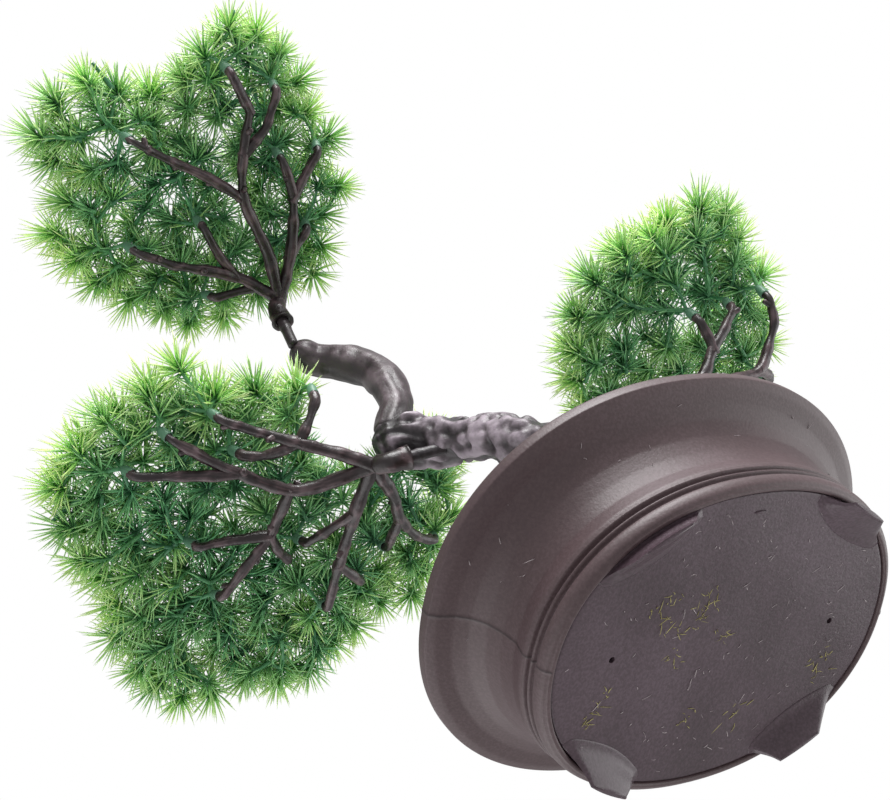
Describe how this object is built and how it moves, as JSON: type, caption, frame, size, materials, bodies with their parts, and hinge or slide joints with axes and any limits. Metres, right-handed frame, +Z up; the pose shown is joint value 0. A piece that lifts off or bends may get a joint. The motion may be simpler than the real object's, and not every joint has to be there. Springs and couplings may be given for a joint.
{
  "type": "artificial tabletop tree",
  "caption": "Artificial bonsai pine in an oval flared pot: weighted stand with a bent moulded trunk and plug-in branches of green needle sprigs that turn on pegs.",
  "frame": {"origin": "middle of the whole tree's footprint, on the surface that the feet stand on", "axes": "+Z up, +X along the pot's long side towards the low front branch, +Y along its short side"},
  "size_m": [0.3091, 0.2547, 0.2806],
  "materials": {
    "pot_plastic": "satin",
    "cement": "matte",
    "foam": "matte",
    "moss": "matte",
    "trunk_resin": "satin",
    "branch_brown": "satin",
    "needle_green": "satin"
  },
  "bodies": {
    "stand": {"pot_shell": "pot_plastic", "base_plate": "pot_plastic", "cement_plug": "cement", "foam_block": "foam", "moss_mat": "moss", "trunk_lower": "trunk_resin", "trunk_upper": "trunk_resin"},
    "top_branch": {"top_frame": "branch_brown", "top_sprig_back": "needle_green", "top_sprig_crown": "needle_green", "top_sprig_end": "needle_green", "top_sprig_far": "needle_green", "top_sprig_inner": "needle_green", "top_sprig_low": "needle_green", "top_sprig_near": "needle_green", "top_sprig_shoulder": "needle_green", "top_sprig_stub": "needle_green"},
    "left_branch": {"left_frame": "branch_brown", "left_sprig_back_end": "needle_green", "left_sprig_back_stub": "needle_green", "left_sprig_front_end": "needle_green", "left_sprig_front_side": "needle_green", "left_sprig_front_stub": "needle_green", "left_sprig_lower_end": "needle_green", "left_sprig_lower_side": "needle_green", "left_sprig_lower_stub": "needle_green", "left_sprig_middle_end": "needle_green", "left_sprig_tip": "needle_green", "left_sprig_upper_end": "needle_green", "left_sprig_upper_side": "needle_green", "left_sprig_upper_stub": "needle_green"},
    "right_branch": {"right_frame": "branch_brown", "right_sprig_inner_end": "needle_green", "right_sprig_inner_stub": "needle_green", "right_sprig_outer_end": "needle_green", "right_sprig_outer_side": "needle_green", "right_sprig_rear_end": "needle_green", "right_sprig_rear_side": "needle_green"}
  },
  "joints": [
    {"name": "top_branch_swivel", "type": "hinge", "parent": "stand", "child": "top_branch", "pos_m": [0.0445, 0.01096, 0.23644], "axis": [-0.0401, 0.331, 0.9428], "range_deg": [-45, 45]},
    {"name": "left_branch_swivel", "type": "hinge", "parent": "stand", "child": "left_branch", "pos_m": [0.03539, -0.00478, 0.13354], "axis": [0.9495, -0.2699, 0.1599], "range_deg": [-12, 12]},
    {"name": "right_branch_swivel", "type": "hinge", "parent": "stand", "child": "right_branch", "pos_m": [-0.06132, 0.01304, 0.10865], "axis": [-0.7847, 0.503, 0.3622], "range_deg": [-20, 20]}
  ]
}
